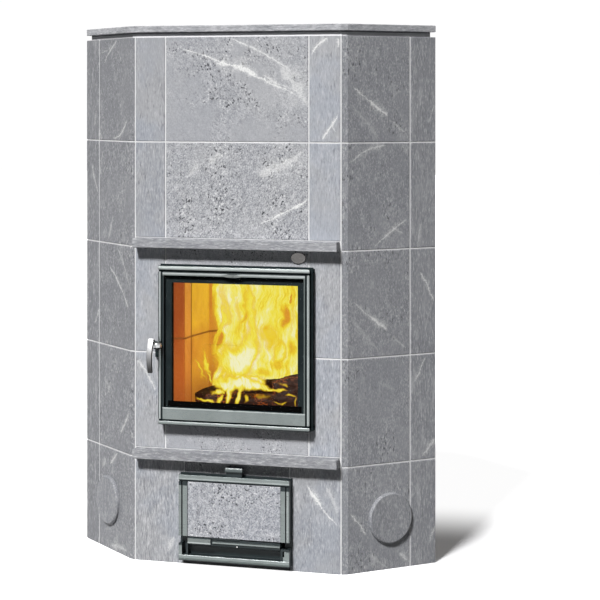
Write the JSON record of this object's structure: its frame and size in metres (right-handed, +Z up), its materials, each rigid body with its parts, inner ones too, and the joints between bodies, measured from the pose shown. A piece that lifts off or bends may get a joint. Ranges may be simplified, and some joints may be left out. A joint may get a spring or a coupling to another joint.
{
  "type": "stove",
  "caption": "Corner heat-storing stove clad in grey soapstone, with a hinged glass fire door over a tilting ash door, two mantels, a cap slab and a lift-out round cover low on each side",
  "frame": {"origin": "middle of the whole stove's footprint box, on the floor", "axes": "+Z up, the glass door faces -Y, +X is the right-hand side as one looks at the door"},
  "size_m": [1.116, 0.8052, 1.614],
  "materials": {
    "soapstone": "satin",
    "mortar": "matte",
    "firebrick": "matte",
    "dark_iron": "matte",
    "satin_metal": "satin",
    "clear_glass": "polished"
  },
  "bodies": {
    "root": {"ash_door_frame": "dark_iron", "ash_door_lintel": "soapstone", "ash_pan": "dark_iron", "base_slab": "firebrick", "blank_badge": "satin_metal", "cap_slab": "soapstone", "crown_block": "firebrick", "fire_door_frame": "dark_iron", "fire_door_lintel": "soapstone", "fire_door_sill": "soapstone", "flue_spigot": "dark_iron", "grate": "dark_iron", "hearth_block": "firebrick", "left_core": "firebrick", "left_front_stone_1": "soapstone", "left_front_stone_2": "soapstone", "left_front_stone_3": "soapstone", "left_front_stone_4": "soapstone", "left_front_stone_5": "soapstone", "left_rear_stones": "soapstone", "left_side_stone_1": "soapstone", "left_side_stone_2": "soapstone", "left_side_stone_3": "soapstone", "left_side_stone_4": "soapstone", "left_side_stone_5": "soapstone", "lower_mantel": "soapstone", "middle_front_stone_4": "soapstone", "middle_front_stone_5": "soapstone", "mortar": "mortar", "rear_core": "firebrick", "right_core": "firebrick", "right_front_stone_1": "soapstone", "right_front_stone_2": "soapstone", "right_front_stone_3": "soapstone", "right_front_stone_4": "soapstone", "right_front_stone_5": "soapstone", "right_rear_stones": "soapstone", "right_side_stone_1": "soapstone", "right_side_stone_2": "soapstone", "right_side_stone_3": "soapstone", "right_side_stone_4": "soapstone", "right_side_stone_5": "soapstone", "upper_mantel": "soapstone"},
    "fire_door": {"fire_door_leaf": "dark_iron", "door_top_bar": "satin_metal", "door_bottom_bar": "satin_metal", "door_left_bar_lower": "satin_metal", "door_left_bar_upper": "satin_metal", "door_right_bar": "satin_metal", "glass_retainer": "satin_metal", "door_glass": "clear_glass"},
    "door_handle": {"door_handle": "satin_metal", "latch_tongue": "dark_iron"},
    "air_wash_tab": {"air_wash_tab": "satin_metal"},
    "ash_door": {"ash_door_leaf": "satin_metal", "ash_stone_panel": "soapstone", "ash_door_grip": "satin_metal"},
    "air_slider": {"air_slider": "satin_metal"},
    "left_cleanout_cover": {"left_cleanout_cover": "soapstone"},
    "right_cleanout_cover": {"right_cleanout_cover": "soapstone"}
  },
  "joints": [
    {"name": "fire_door_hinge", "type": "hinge", "parent": "root", "child": "fire_door", "pos_m": [0.2345, -0.33211, 0.657], "axis": [0, 0, 1], "range_deg": [0, 110]},
    {"name": "door_handle_turn", "type": "hinge", "parent": "fire_door", "child": "door_handle", "pos_m": [-0.231, -0.36411, 0.65725], "axis": [0, 1, 0], "range_deg": [0, 90]},
    {"name": "air_wash_slide", "type": "slide", "parent": "fire_door", "child": "air_wash_tab", "axis": [1, 0, 0], "range_m": [-0.012, 0.012]},
    {"name": "ash_door_tilt", "type": "hinge", "parent": "root", "child": "ash_door", "pos_m": [0, -0.32811, 0.062], "axis": [1, 0, 0], "range_deg": [0, 80]},
    {"name": "air_slide", "type": "slide", "parent": "ash_door", "child": "air_slider", "axis": [1, 0, 0], "range_m": [0, 0.06]},
    {"name": "left_cleanout_pull", "type": "slide", "parent": "root", "child": "left_cleanout_cover", "axis": [-0.7071, -0.7071, 0], "range_m": [0, 0.06]},
    {"name": "right_cleanout_pull", "type": "slide", "parent": "root", "child": "right_cleanout_cover", "axis": [0.7071, -0.7071, 0], "range_m": [0, 0.06]}
  ]
}
